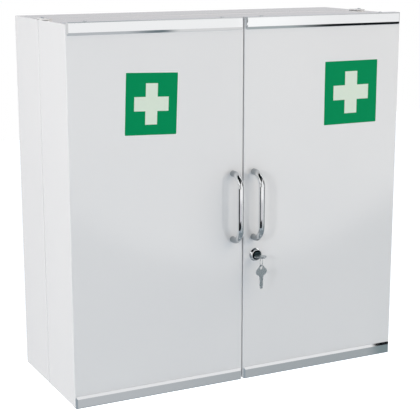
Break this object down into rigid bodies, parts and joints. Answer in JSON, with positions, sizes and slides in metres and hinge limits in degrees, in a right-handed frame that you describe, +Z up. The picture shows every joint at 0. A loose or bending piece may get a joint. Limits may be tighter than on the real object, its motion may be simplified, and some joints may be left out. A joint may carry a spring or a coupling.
{
  "type": "lockable medicine cabinet",
  "caption": "Wall-hung sheet-steel medicine cabinet with deep lockable box doors, inner shelves and trays, chrome edge trims, bow handles and a cam lock with keys.",
  "frame": {"origin": "centre of the wall-fixing hole pattern, on the back face that lies on the wall", "axes": "+Z up, +Y into the wall, doors face -Y, +X to the right seen from the front"},
  "size_m": [0.7, 0.3171, 0.7096],
  "materials": {
    "painted_steel": "white powder coat, satin",
    "chrome": "bright chrome plate",
    "nickel_steel": "nickel plate, worn satin",
    "zinc_plated": "bright zinc plate",
    "magnet_steel": "ground steel",
    "white_plastic": "moulded nylon",
    "rubber": "matt"
  },
  "bodies": {
    "root": {"back_panel": "painted_steel", "casing_top": "painted_steel", "casing_bottom": "painted_steel", "casing_left_side": "painted_steel", "casing_right_side": "painted_steel", "shelf_upper": "painted_steel", "shelf_middle": "painted_steel", "shelf_lower": "painted_steel", "shelf_clips": "zinc_plated", "hinge_strap_top_left": "painted_steel", "hinge_strap_top_right": "painted_steel", "hinge_strap_bottom_left": "painted_steel", "hinge_strap_bottom_right": "painted_steel", "hinge_pins": "chrome", "catch_housings": "white_plastic", "catch_magnets": "magnet_steel", "door_buffers": "rubber"},
    "left_door": {"left_door_shell": "painted_steel", "left_door_top_cap": "painted_steel", "left_door_bottom_cap": "painted_steel", "left_tray_upper": "painted_steel", "left_tray_middle": "painted_steel", "left_tray_lower": "painted_steel", "left_trim_top": "chrome", "left_trim_bottom": "chrome", "left_trim_screws": "chrome", "left_handle": "chrome", "left_handle_screws": "zinc_plated", "left_hinge_bushes": "white_plastic", "left_strike_plates": "zinc_plated", "lock_keeper": "zinc_plated"},
    "right_door": {"right_door_shell": "painted_steel", "right_door_top_cap": "painted_steel", "right_door_bottom_cap": "painted_steel", "right_tray_upper": "painted_steel", "right_tray_middle": "painted_steel", "right_tray_lower": "painted_steel", "right_trim_top": "chrome", "right_trim_bottom": "chrome", "right_trim_screws": "chrome", "right_handle": "chrome", "right_handle_screws": "zinc_plated", "right_hinge_bushes": "white_plastic", "right_strike_plates": "zinc_plated", "lock_rosette": "chrome", "lock_barrel": "chrome", "lock_nut": "zinc_plated"},
    "lock_core": {"lock_core": "chrome", "lock_cam": "zinc_plated", "cam_screw": "zinc_plated"},
    "key": {"key": "nickel_steel"},
    "key_ring": {"key_ring": "nickel_steel"},
    "spare_key": {"spare_key": "nickel_steel"}
  },
  "joints": [
    {"name": "left_door_hinge", "type": "hinge", "parent": "root", "child": "left_door", "pos_m": [-0.344, -0.1405, 0], "axis": [0, 0, -1], "range_deg": [0, 110]},
    {"name": "right_door_hinge", "type": "hinge", "parent": "root", "child": "right_door", "pos_m": [0.344, -0.1405, 0], "axis": [0, 0, 1], "range_deg": [0, 110]},
    {"name": "lock_turn", "type": "hinge", "parent": "right_door", "child": "lock_core", "pos_m": [0.0275, -0.277, -0.103], "axis": [0, -1, 0], "range_deg": [0, 90]},
    {"name": "key_slide", "type": "slide", "parent": "lock_core", "child": "key", "axis": [0, -1, 0], "range_m": [0, 0.026]},
    {"name": "ring_swing", "type": "hinge", "parent": "key", "child": "key_ring", "pos_m": [0.0275, -0.305, -0.103], "axis": [0, -1, 0], "range_deg": [-90, 0]},
    {"name": "spare_key_swing", "type": "hinge", "parent": "key_ring", "child": "spare_key", "pos_m": [0.02275, -0.30975, -0.11922], "axis": [0.7071, 0.7071, 0], "range_deg": [-30, 30]}
  ],
  "couplings": [
    {"joint": "ring_swing", "follows": "lock_turn", "ratio": -1}
  ]
}
